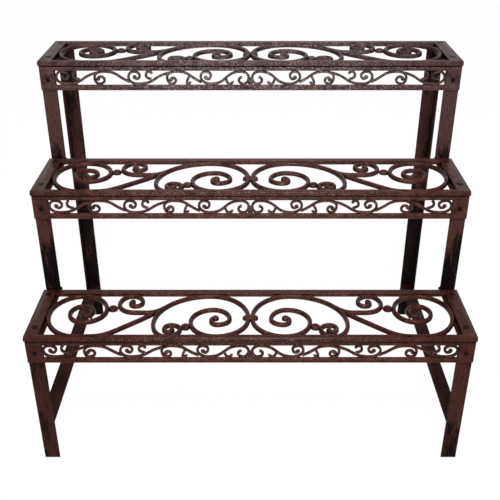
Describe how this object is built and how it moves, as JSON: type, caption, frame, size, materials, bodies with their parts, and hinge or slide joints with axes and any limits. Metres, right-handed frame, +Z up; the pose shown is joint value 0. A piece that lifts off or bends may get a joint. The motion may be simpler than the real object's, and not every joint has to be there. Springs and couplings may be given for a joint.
{
  "type": "tiered plant stand",
  "caption": "Free-standing stepped plant stand: openwork scroll shelves with vine aprons, bolted to side frames of welded angle iron.",
  "frame": {"origin": "on the floor, under the middle of the stand's outer box", "axes": "+X along the shelves towards the right-hand end, +Y from the low front tier to the high rear tier, +Z up"},
  "size_m": [0.711, 0.4506, 0.6105],
  "materials": {
    "casting": "satin brown paint over a fine sand-cast surface",
    "angle_iron": "satin brown paint with darker patches",
    "fastener": "dark paint over steel"
  },
  "bodies": {
    "root": {"bottom_apron": "casting", "bottom_left_apron_bolt": "fastener", "bottom_left_apron_nut": "fastener", "bottom_left_front_shelf_screw": "fastener", "bottom_left_rear_shelf_screw": "fastener", "bottom_left_rim_screw": "fastener", "bottom_right_apron_bolt": "fastener", "bottom_right_apron_nut": "fastener", "bottom_right_front_shelf_screw": "fastener", "bottom_right_rear_shelf_screw": "fastener", "bottom_right_rim_screw": "fastener", "bottom_shelf": "casting", "left_bottom_rail": "angle_iron", "left_front_leg": "angle_iron", "left_low_rail": "angle_iron", "left_middle_post": "angle_iron", "left_middle_rail": "angle_iron", "left_rear_leg": "angle_iron", "left_top_rail": "angle_iron", "left_upper_post": "angle_iron", "middle_apron": "casting", "middle_left_apron_bolt": "fastener", "middle_left_apron_nut": "fastener", "middle_left_front_shelf_screw": "fastener", "middle_left_rear_shelf_screw": "fastener", "middle_left_rim_screw": "fastener", "middle_right_apron_bolt": "fastener", "middle_right_apron_nut": "fastener", "middle_right_front_shelf_screw": "fastener", "middle_right_rear_shelf_screw": "fastener", "middle_right_rim_screw": "fastener", "middle_shelf": "casting", "right_bottom_rail": "angle_iron", "right_front_leg": "angle_iron", "right_low_rail": "angle_iron", "right_middle_post": "angle_iron", "right_middle_rail": "angle_iron", "right_rear_leg": "angle_iron", "right_top_rail": "angle_iron", "right_upper_post": "angle_iron", "top_apron": "casting", "top_left_apron_bolt": "fastener", "top_left_apron_nut": "fastener", "top_left_front_shelf_screw": "fastener", "top_left_rear_shelf_screw": "fastener", "top_left_rim_screw": "fastener", "top_right_apron_bolt": "fastener", "top_right_apron_nut": "fastener", "top_right_front_shelf_screw": "fastener", "top_right_rear_shelf_screw": "fastener", "top_right_rim_screw": "fastener", "top_shelf": "casting"}
  },
  "joints": []
}
